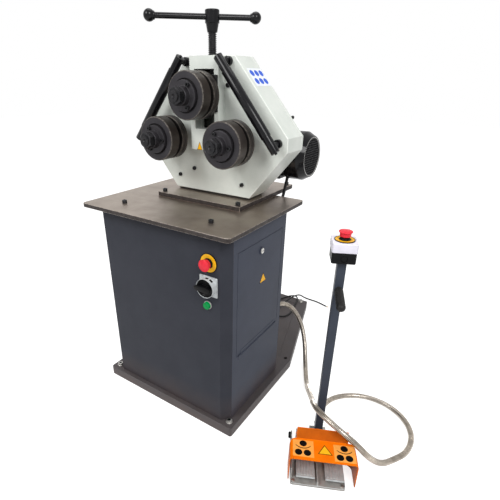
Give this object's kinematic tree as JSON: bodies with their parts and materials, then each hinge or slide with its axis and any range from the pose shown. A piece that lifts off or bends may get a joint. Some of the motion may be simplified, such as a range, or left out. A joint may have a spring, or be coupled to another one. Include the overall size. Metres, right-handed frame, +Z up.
{
  "type": "ring roller",
  "caption": "Ring roller: grooved bending rolls on a housing with a T-handle screw, over a cabinet with a side door, floor frame, motor and foot-pedal unit on a hose.",
  "frame": {"origin": "on the floor under the centre of the cabinet, on the underside of the floor frame's keel", "axes": "+Z up, the roll side faces -Y, +X to the right seen from the front"},
  "size_m": [1.1049, 1.0691, 1.275],
  "materials": {
    "cabinet_paint": "satin",
    "base_paint": "satin",
    "head_paint": "textured satin",
    "oiled_steel": "brushed and oiled",
    "zinc_steel": "zinc plated",
    "black_oxide": "black oxide, turned",
    "gloss_black_metal": "gloss",
    "dark_casting": "machined, oiled",
    "black_plastic": "moulded",
    "red_plastic": "glossy",
    "amber_plastic": "satin",
    "green_lens": "clear lens over a lamp",
    "orange_paint": "powder coat",
    "cast_aluminium": "as cast",
    "post_paint": "satin",
    "pale_plastic": "moulded",
    "hose_metal": "helical flexible conduit",
    "cable_rubber": "matte"
  },
  "bodies": {
    "machine": {"base_frame": "base_paint", "anchor_bolts": "zinc_steel", "cabinet_front": "cabinet_paint", "cabinet_left": "cabinet_paint", "cabinet_back": "cabinet_paint", "cabinet_right": "cabinet_paint", "door_hinge": "cabinet_paint", "estop_ring_cabinet": "amber_plastic", "switch_plate": "pale_plastic", "power_lamp": "green_lens", "table_top": "oiled_steel", "head_plate": "oiled_steel", "plate_screws": "dark_casting", "head_spacer": "dark_casting", "head_casting": "head_paint", "head_cover": "head_paint", "guide_column": "head_paint", "face_screws": "dark_casting", "guard_rods": "gloss_black_metal", "guard_posts": "gloss_black_metal", "eye_bracket": "zinc_steel", "gearbox": "gloss_black_metal", "motor_body": "gloss_black_metal", "motor_cowl": "gloss_black_metal", "pedal_guard": "orange_paint", "pedal_base": "cast_aluminium", "pedal_axle": "zinc_steel", "pedal_screws": "zinc_steel", "pedal_post": "post_paint", "post_grip": "cable_rubber", "stop_box_lower": "black_plastic", "stop_box_lid": "pale_plastic", "estop_ring_pedal": "amber_plastic", "pedal_glands": "black_plastic", "control_hose": "hose_metal", "motor_cable": "cable_rubber", "mains_lead": "cable_rubber"},
    "carriage": {"carriage": "dark_casting"},
    "top_roll": {"roll_top": "black_oxide", "shaft_top": "black_oxide", "nut_top": "black_oxide"},
    "left_roll": {"roll_left": "black_oxide", "shaft_left": "black_oxide", "nut_left": "black_oxide"},
    "right_roll": {"roll_right": "black_oxide", "shaft_right": "black_oxide", "nut_right": "black_oxide"},
    "spindle": {"screw_spindle": "gloss_black_metal"},
    "tee": {"tee_bar": "gloss_black_metal"},
    "left_sleeve": {"sleeve_left": "gloss_black_metal"},
    "right_sleeve": {"sleeve_right": "gloss_black_metal"},
    "door": {"door_panel": "cabinet_paint"},
    "lock": {"door_lock": "zinc_steel"},
    "stop_cabinet": {"estop_button_cabinet": "red_plastic"},
    "stop_pedal": {"estop_button_pedal": "red_plastic"},
    "knob": {"switch_knob": "black_plastic"},
    "left_pedal": {"pedal_left": "cast_aluminium"},
    "right_pedal": {"pedal_right": "cast_aluminium"}
  },
  "joints": [
    {"name": "carriage_slide", "type": "slide", "parent": "machine", "child": "carriage", "axis": [0, 0, 1], "range_m": [-0.048, 0.012]},
    {"name": "top_roll_spin", "type": "hinge", "parent": "carriage", "child": "top_roll", "pos_m": [0.019, 0, 1.049], "axis": [0, 1, 0], "continuous": true},
    {"name": "left_roll_spin", "type": "hinge", "parent": "machine", "child": "left_roll", "pos_m": [-0.1066, 0, 0.9205], "axis": [0, 1, 0], "continuous": true},
    {"name": "right_roll_spin", "type": "hinge", "parent": "machine", "child": "right_roll", "pos_m": [0.1446, 0, 0.9205], "axis": [0, 1, 0], "continuous": true},
    {"name": "spindle_turn", "type": "hinge", "parent": "carriage", "child": "spindle", "pos_m": [0.019, 0.1, 1.25], "axis": [0, 0, 1], "range_deg": [-3460, 870]},
    {"name": "tee_slide", "type": "slide", "parent": "spindle", "child": "tee", "axis": [0.7314, 0.682, 0], "range_m": [-0.09, 0.142]},
    {"name": "left_sleeve_spin", "type": "hinge", "parent": "machine", "child": "left_sleeve", "pos_m": [-0.0575, 0.04, 1.152], "axis": [-0.6296, 0, -0.7769], "continuous": true},
    {"name": "right_sleeve_spin", "type": "hinge", "parent": "machine", "child": "right_sleeve", "pos_m": [0.081, 0.04, 1.152], "axis": [0.6296, 0, -0.7769], "continuous": true},
    {"name": "door_hinge_turn", "type": "hinge", "parent": "machine", "child": "door", "pos_m": [0.2678, 0.0135, 0.27975], "axis": [0, 1, 0], "range_deg": [0, 38]},
    {"name": "lock_turn", "type": "hinge", "parent": "door", "child": "lock", "pos_m": [0.266, 0.0135, 0.609], "axis": [1, 0, 0], "range_deg": [0, 90]},
    {"name": "stop_cabinet_press", "type": "slide", "parent": "machine", "child": "stop_cabinet", "axis": [0, 1, 0], "range_m": [0, 0.005], "stiffness_N_per_m": 1200, "springref_m": -0.004},
    {"name": "stop_pedal_press", "type": "slide", "parent": "machine", "child": "stop_pedal", "axis": [0, 0, -1], "range_m": [0, 0.005], "stiffness_N_per_m": 1200, "springref_m": -0.004},
    {"name": "knob_turn", "type": "hinge", "parent": "machine", "child": "knob", "pos_m": [0.2, -0.19, 0.546], "axis": [0, 1, 0], "range_deg": [0, 90]},
    {"name": "left_pedal_press", "type": "hinge", "parent": "machine", "child": "left_pedal", "pos_m": [0.50707, -0.13756, 0.018], "axis": [0.8988, 0.4384, 0], "range_deg": [0, 5], "stiffness_Nm_per_rad": 25, "springref_deg": -4.58},
    {"name": "right_pedal_press", "type": "hinge", "parent": "machine", "child": "right_pedal", "pos_m": [0.58437, -0.09986, 0.018], "axis": [0.8988, 0.4384, 0], "range_deg": [0, 5], "stiffness_Nm_per_rad": 25, "springref_deg": -4.58}
  ],
  "couplings": [
    {"joint": "right_roll_spin", "follows": "left_roll_spin", "ratio": 1},
    {"joint": "spindle_turn", "follows": "carriage_slide", "rad_per_m": 1256.6}
  ]
}
